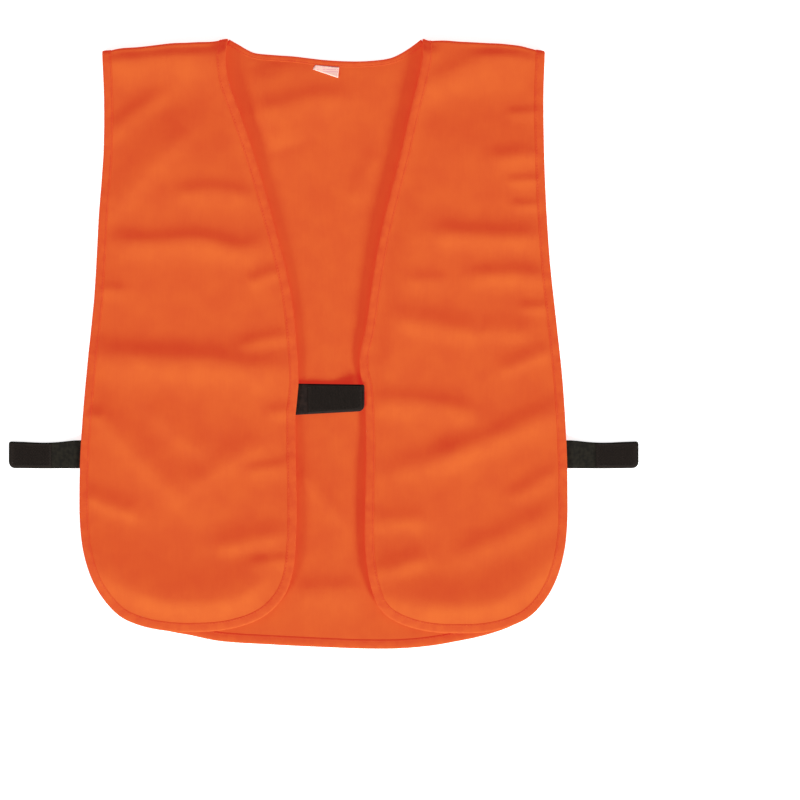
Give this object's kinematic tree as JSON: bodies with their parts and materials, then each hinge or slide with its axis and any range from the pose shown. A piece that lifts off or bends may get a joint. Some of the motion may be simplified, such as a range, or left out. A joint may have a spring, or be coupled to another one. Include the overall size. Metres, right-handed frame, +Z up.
{
  "type": "safety vest",
  "caption": "Hip-length sleeveless vest with an open front and open sides, bound edges, a hook-and-loop front tab and elastic side straps, laid flat.",
  "frame": {"origin": "centre of the laid vest's footprint, on the surface that it lies on", "axes": "+Z up from the surface, +Y toward the collar, +X toward the wearer's left"},
  "size_m": [0.631, 0.6118, 0.0144],
  "materials": {
    "blaze_tricot": "knitted",
    "binding_tape": "woven",
    "orange_thread": "thread",
    "black_webbing": "woven",
    "black_elastic": "ribbed",
    "black_hook_tape": "hooked",
    "black_loop_tape": "napped",
    "label_satin": "satin"
  },
  "bodies": {
    "back": {"back_panel": "blaze_tricot", "back_binding": "binding_tape", "back_topstitch": "orange_thread", "neck_binding": "binding_tape", "neck_topstitch": "orange_thread", "right_shoulder_seam": "binding_tape", "left_shoulder_seam": "binding_tape", "right_strap_anchor": "black_webbing", "left_strap_anchor": "black_webbing"},
    "right_front": {"right_front_panel": "blaze_tricot", "right_front_binding": "binding_tape", "right_front_topstitch": "orange_thread", "right_side_loop_patch": "black_loop_tape", "front_tab_anchor": "black_webbing"},
    "left_front": {"left_front_panel": "blaze_tricot", "left_front_binding": "binding_tape", "left_front_topstitch": "orange_thread", "left_side_loop_patch": "black_loop_tape", "front_loop_patch": "black_loop_tape"},
    "front_tab": {"front_tab_webbing": "black_webbing", "front_tab_hook": "black_hook_tape"},
    "right_strap": {"right_strap_elastic": "black_elastic"},
    "left_strap": {"left_strap_elastic": "black_elastic"},
    "right_strap_end": {"right_strap_tip": "black_webbing", "right_strap_hook": "black_hook_tape"},
    "left_strap_end": {"left_strap_tip": "black_webbing", "left_strap_hook": "black_hook_tape"},
    "label": {"care_label": "label_satin"}
  },
  "joints": [
    {"name": "right_front_fold", "type": "hinge", "parent": "back", "child": "right_front", "pos_m": [-0.15856, 0.2991, 0.0036], "axis": [-0.9947, -0.1026, 0], "range_deg": [0, 170]},
    {"name": "left_front_fold", "type": "hinge", "parent": "back", "child": "left_front", "pos_m": [0.16031, 0.2991, 0.0036], "axis": [-0.9944, 0.1055, 0], "range_deg": [0, 170]},
    {"name": "front_tab_peel", "type": "hinge", "parent": "right_front", "child": "front_tab", "pos_m": [-0.021, -0.0555, 0.0038], "axis": [0, -1, 0], "range_deg": [0, 105]},
    {"name": "right_strap_fold", "type": "hinge", "parent": "back", "child": "right_strap", "pos_m": [-0.25, -0.111, 0.0034], "axis": [0, 1, 0], "range_deg": [0, 135]},
    {"name": "right_strap_stretch", "type": "slide", "parent": "right_strap", "child": "right_strap_end", "axis": [-1, 0, 0], "range_m": [0, 0.012], "stiffness_N_per_m": 60},
    {"name": "left_strap_fold", "type": "hinge", "parent": "back", "child": "left_strap", "pos_m": [0.25, -0.111, 0.0034], "axis": [0, -1, 0], "range_deg": [0, 135]},
    {"name": "left_strap_stretch", "type": "slide", "parent": "left_strap", "child": "left_strap_end", "axis": [1, 0, 0], "range_m": [0, 0.012], "stiffness_N_per_m": 60},
    {"name": "label_flip", "type": "hinge", "parent": "back", "child": "label", "pos_m": [0.004, 0.2765, 0.00215], "axis": [-0.9955, 0.0952, 0], "range_deg": [0, 140]}
  ]
}
